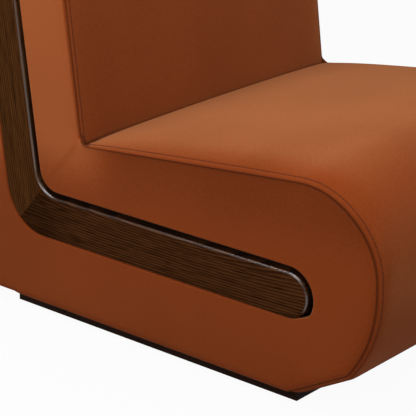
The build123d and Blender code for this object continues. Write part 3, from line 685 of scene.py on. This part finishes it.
# Side panels: how far they stand out, and their grid from the seam to the channel
SIDE_RISE = 5.6
SIDE_ROLL = 6.5
SIDE_EASE = 0.9
EASE_FADE = 45.0
LIP_RADIUS = 4.0
OUTER_STEPS = (0, 0.8, 1.7, 2.8, 4.2, 6, 8.5, 12, 17, 24, 32)
INNER_STEPS = (28, 20, 14, 10, 7, 5, 4, 3.3, 2.6, 1.9, 1.2, 0.6, 0.2, 0)
MIDDLE_STEPS = 9
RETURN_DEPTH = 18.0
RETURN_STEPS = 5
BODY_CENTRE = (0.0, 0.05, 0.25)  # in metres


def side_panel(name, sign):
    """The cloth of one side, from the side seam in to the channel and round its lip."""
    outer, seam_x, outer_anchors = side_loop()
    inner, inner_anchors = channel_loop()
    outer_length, inner_length = lengths(outer), lengths(inner)
    match = np.interp(outer_length, outer_length[outer_anchors], inner_length[inner_anchors])
    facing = np.stack([np.interp(match, inner_length, inner[:, i]) for i in (0, 1)], axis=1)
    span = np.linalg.norm(facing - outer, axis=1)
    rows, shades = [], []
    for i in range(len(outer) - 1):
        middle = np.linspace(OUTER_STEPS[-1], span[i] - INNER_STEPS[0], MIDDLE_STEPS + 2)[1:-1]
        away = np.concatenate([OUTER_STEPS, middle, span[i] - np.array(INNER_STEPS)])
        points = outer[i] + (facing[i] - outer[i]) * (away / span[i])[:, None]
        rise = SIDE_RISE * (1 - np.exp(-away / SIDE_ROLL))
        to_lip = np.clip(LIP_RADIUS - (span[i] - away), 0, LIP_RADIUS)
        lip = LIP_RADIUS - np.sqrt(LIP_RADIUS ** 2 - to_lip ** 2)
        bulge = (seam_x[i] - HALF_WIDTH) * np.exp(-away / BULGE_FADE)
        ease = 1 - SIDE_EASE * (seam_x[i] - HALF_WIDTH) / SEAM_BULGE * np.exp(-away / EASE_FADE)
        x = HALF_WIDTH + rise * ease + bulge - lip
        row = np.column_stack([sign * x, points])
        floor = np.linspace(x[-1], HALF_WIDTH + SIDE_RISE - RETURN_DEPTH, RETURN_STEPS)[1:]
        back = np.column_stack([sign * floor, np.repeat(points[-1:], len(floor), axis=0)])
        rows.append(np.vstack([row, back]))
        # Painted shade beside the side seam, none on the return into the channel
        shades.append(np.concatenate([np.exp(-(away / SEAM_SHADE) ** 2), np.zeros(len(floor))]))
    grid = np.stack(rows)
    faces = grid_faces(grid.shape[0], grid.shape[1], close=True)
    piece = new_piece(name, grid.reshape(-1, 3), faces, velvet)
    shade_seams(piece, np.stack(shades))
    return piece


def orient_outwards(piece):
    """Turns every face of a sheet the way most of the chair's outside faces."""
    mesh = piece.data
    centre = np.array(BODY_CENTRE)
    total = 0.0
    for polygon in mesh.polygons:
        total += polygon.area * float(np.dot(np.array(polygon.normal), np.array(polygon.center) - centre))
    if total < 0:
        mesh.flip_normals()


def topstitch(name, sign):
    """A row of separate stitches along the bands, beside one side seam."""
    verts, faces = [], []
    ring = 6
    profile = ((-0.5, 0.35), (-0.3, 1.0), (0.3, 1.0), (0.5, 0.35))
    for panel in ("seat", "back", "rear"):
        points, normals, across = band_column(panel, STITCH_INSET)
        run = lengths(points)
        for middle in np.arange(STITCH_PITCH, run[-1] - STITCH_PITCH, STITCH_PITCH):
            base = len(verts)
            for offset, swell in profile:
                at = middle + offset * STITCH_LENGTH
                centre = np.array([np.interp(at, run, points[:, i]) for i in (0, 1)])
                normal = np.array([np.interp(at, run, normals[:, i]) for i in (0, 1)])
                normal /= np.linalg.norm(normal)
                lift = STITCH_LIFT if swell == 1.0 else -STITCH_LIFT
                for j in range(ring):
                    angle = 2 * math.pi * j / ring
                    out = normal * (lift + math.sin(angle) * STITCH_RADIUS * swell)
                    x = sign * (np.interp(at, run, across) + math.cos(angle) * STITCH_RADIUS * swell)
                    verts.append((x, *(centre + out)))
            for k in range(len(profile) - 1):
                for j in range(ring):
                    a = base + k * ring + j
                    b = base + k * ring + (j + 1) % ring
                    faces.append((a, b, b + ring, a + ring))
            faces.append(tuple(base + j for j in reversed(range(ring))))
            faces.append(tuple(base + (len(profile) - 1) * ring + j for j in range(ring)))
    return new_piece(name, verts, faces, thread)


def upholster():
    """All the velvet and its stitches, in place of the soft CAD nodes."""
    pieces = []
    for name, panel, covered in (
        ("seat_band", "seat", ("seat_cover", "seat_topper")),
        ("inside_back_band", "back", ("inside_back_cover", "back_topper")),
        ("outside_back_panel", "rear", ("outside_back_cover", "rear_pad")),
    ):
        piece = band_piece(name, panel)
        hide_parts(*covered)
        pieces.append(piece)
    for side, sign in (("left", 1), ("right", -1)):
        piece = side_panel(f"side_panel_{side}", sign)
        thicken(piece, CLOTH_THICKNESS)
        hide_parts(f"side_cover_{side}", f"seat_side_pad_{side}", f"back_side_pad_{side}")
        pieces.append(piece)
        stitches = topstitch(f"topstitch_{side}", sign)
        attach(stitches, "root")
    for piece in pieces:
        orient_outwards(piece)
        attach(piece, "root")


upholster()


# Finish of the CAD nodes that stay in view, and of the hidden ones

def finish_nodes():
    """A material for every CAD node by its slot, with the inlay's own woods."""
    foam = plain_material("cut_foam", (0.60, 0.52, 0.33), (0.80, 0.73, 0.52), 420.0, 0.95, 0.0008)
    plywood = plain_material("raw_plywood", (0.42, 0.27, 0.14), (0.60, 0.42, 0.24), 60.0, 0.7, 0.0003)
    steel = plain_material("drawn_steel", (0.28, 0.28, 0.29), (0.45, 0.45, 0.46), 300.0, 0.35, 0.0001, 1.0)
    black = plain_material("matt_black", (0.004, 0.0035, 0.003), (0.008, 0.007, 0.006), 500.0, 0.9, 0.0003)
    cloth = plain_material("black_cloth", (0.01, 0.01, 0.01), (0.022, 0.022, 0.022), 1500.0, 0.95, 0.0005)
    felt = plain_material("grey_felt", (0.12, 0.12, 0.11), (0.22, 0.21, 0.20), 800.0, 0.95, 0.0006)
    plastic = plain_material("glide_plastic", (0.01, 0.01, 0.01), (0.02, 0.02, 0.02), 700.0, 0.5, 0.0001)
    by_slot = {"foam": foam, "plywood": plywood, "rail_wood": plywood, "hardboard": plywood, "felt": felt,
               "webbing": cloth, "dust_cloth": cloth, "channel_black": black, "spring_steel": steel,
               "zinc_steel": steel, "glide_plastic": plastic, "velvet": velvet, "stained_wood": plinth_wood}
    for entry in frame["record"]["subparts"]:
        node = nodes[entry["node"]]
        material = by_slot[entry["material_slot"]]
        if entry["node"].startswith("inlay_rail"):
            material = rail_wood
        if entry["node"].startswith("inlay_stile"):
            material = stile_wood
        node.data.materials.clear()
        node.data.materials.append(material)


finish_nodes()


# Stage: pale floor and backdrop, soft light, the photograph's camera

FLOOR_SIZE = 6.0
FLOOR_GLOW = 0.95  # share of the floor that the camera and reflections see as plain white
WORLD_LIGHT = 0.16


def stage_material():
    """A pale floor that stays white to the camera and in reflections, and keeps the shadow."""
    material, tree, shader = node_material("stage_white")
    shader.inputs["Base Color"].default_value = (0.5, 0.5, 0.5, 1.0)
    shader.inputs["Roughness"].default_value = 0.9
    shader.inputs["Specular IOR Level"].default_value = 0.0
    paths = tree.nodes.new("ShaderNodeLightPath")
    add = add_node(tree, "ShaderNodeMath", operation="ADD", use_clamp=True)
    seen = add_node(tree, "ShaderNodeMath", operation="ADD", use_clamp=True)
    share = add_node(tree, "ShaderNodeMath", operation="MULTIPLY")
    share.inputs[1].default_value = FLOOR_GLOW
    tree.links.new(paths.outputs["Is Camera Ray"], add.inputs[0])
    tree.links.new(paths.outputs["Is Glossy Ray"], add.inputs[1])
    tree.links.new(add.outputs[0], seen.inputs[0])
    tree.links.new(paths.outputs["Is Transmission Ray"], seen.inputs[1])
    tree.links.new(seen.outputs[0], share.inputs[0])
    glow = add_node(tree, "ShaderNodeEmission", Strength=1.0)
    mix = tree.nodes.new("ShaderNodeMixShader")
    tree.links.new(share.outputs[0], mix.inputs["Fac"])
    tree.links.new(shader.outputs["BSDF"], mix.inputs[1])
    tree.links.new(glow.outputs["Emission"], mix.inputs[2])
    tree.links.new(mix.outputs["Shader"], tree.nodes["Material Output"].inputs["Surface"])
    return material


def build_stage():
    """The floor and the world's light."""
    size = FLOOR_SIZE
    mesh = bpy.data.meshes.new("floor")
    corners = [(-size, -size, 0), (size, -size, 0), (size, size, 0), (-size, size, 0)]
    mesh.from_pydata(corners, [], [(0, 1, 2, 3)])
    mesh.materials.append(stage_material())
    floor = bpy.data.objects.new("floor", mesh)
    bpy.context.scene.collection.objects.link(floor)
    world = bpy.data.worlds.new("studio")
    bpy.context.scene.world = world
    world.use_nodes = True
    tree = world.node_tree
    background = tree.nodes["Background"]
    background.inputs["Color"].default_value = (1.0, 1.0, 1.0, 1.0)
    paths = tree.nodes.new("ShaderNodeLightPath")
    strength = tree.nodes.new("ShaderNodeMapRange")
    strength.inputs["To Min"].default_value = WORLD_LIGHT
    strength.inputs["To Max"].default_value = 1.0
    tree.links.new(paths.outputs["Is Camera Ray"], strength.inputs["Value"])
    tree.links.new(strength.outputs["Result"], background.inputs["Strength"])


def area_light(name, place, target, size, power):
    """A soft rectangular lamp turned towards a target."""
    data = bpy.data.lights.new(name, "AREA")
    data.shape = "RECTANGLE"
    data.size, data.size_y = size
    data.energy = power
    lamp = bpy.data.objects.new(name, data)
    lamp.location = place
    lamp.rotation_euler = (Vector(target) - Vector(place)).to_track_quat("-Z", "Y").to_euler()
    bpy.context.scene.collection.objects.link(lamp)


def place_camera():
    """The camera that was fitted to the photograph."""
    azimuth, elevation = math.radians(CAMERA_AZIMUTH), math.radians(CAMERA_ELEVATION)
    back = Vector((math.sin(azimuth) * math.cos(elevation), -math.cos(azimuth) * math.cos(elevation),
                   math.sin(elevation)))
    right = Vector((math.cos(azimuth), math.sin(azimuth), 0))
    up = back.cross(right)
    data = bpy.data.cameras.new("photo_camera")
    data.sensor_width = SENSOR
    data.lens = FOCAL_PIXELS * SENSOR / FRAME_PIXELS
    camera = bpy.data.objects.new("photo_camera", data)
    turn = Matrix((right, up, back)).transposed().to_4x4()
    camera.matrix_world = Matrix.Translation(Vector(CAMERA_PLACE) * MM) @ turn
    bpy.context.scene.collection.objects.link(camera)
    bpy.context.scene.camera = camera


build_stage()
area_light("top_softbox", (0.5, -0.9, 2.6), (0.0, 0.0, 0.3), (2.0, 2.0), 29.0)
area_light("side_softbox", (-2.8, 0.2, 1.5), (0.0, 0.0, 0.3), (1.6, 1.6), 40.0)
area_light("high_strip", (-1.05, 0.1, 2.6), (-0.33, 0.0, 0.25), (2.6, 0.14), 46.0)
area_light("front_fill", (0.7, -2.3, 2.1), (0.0, 0.0, 0.5), (1.8, 1.4), 24.0)
place_camera()
bpy.context.scene.view_settings.view_transform = "Standard"
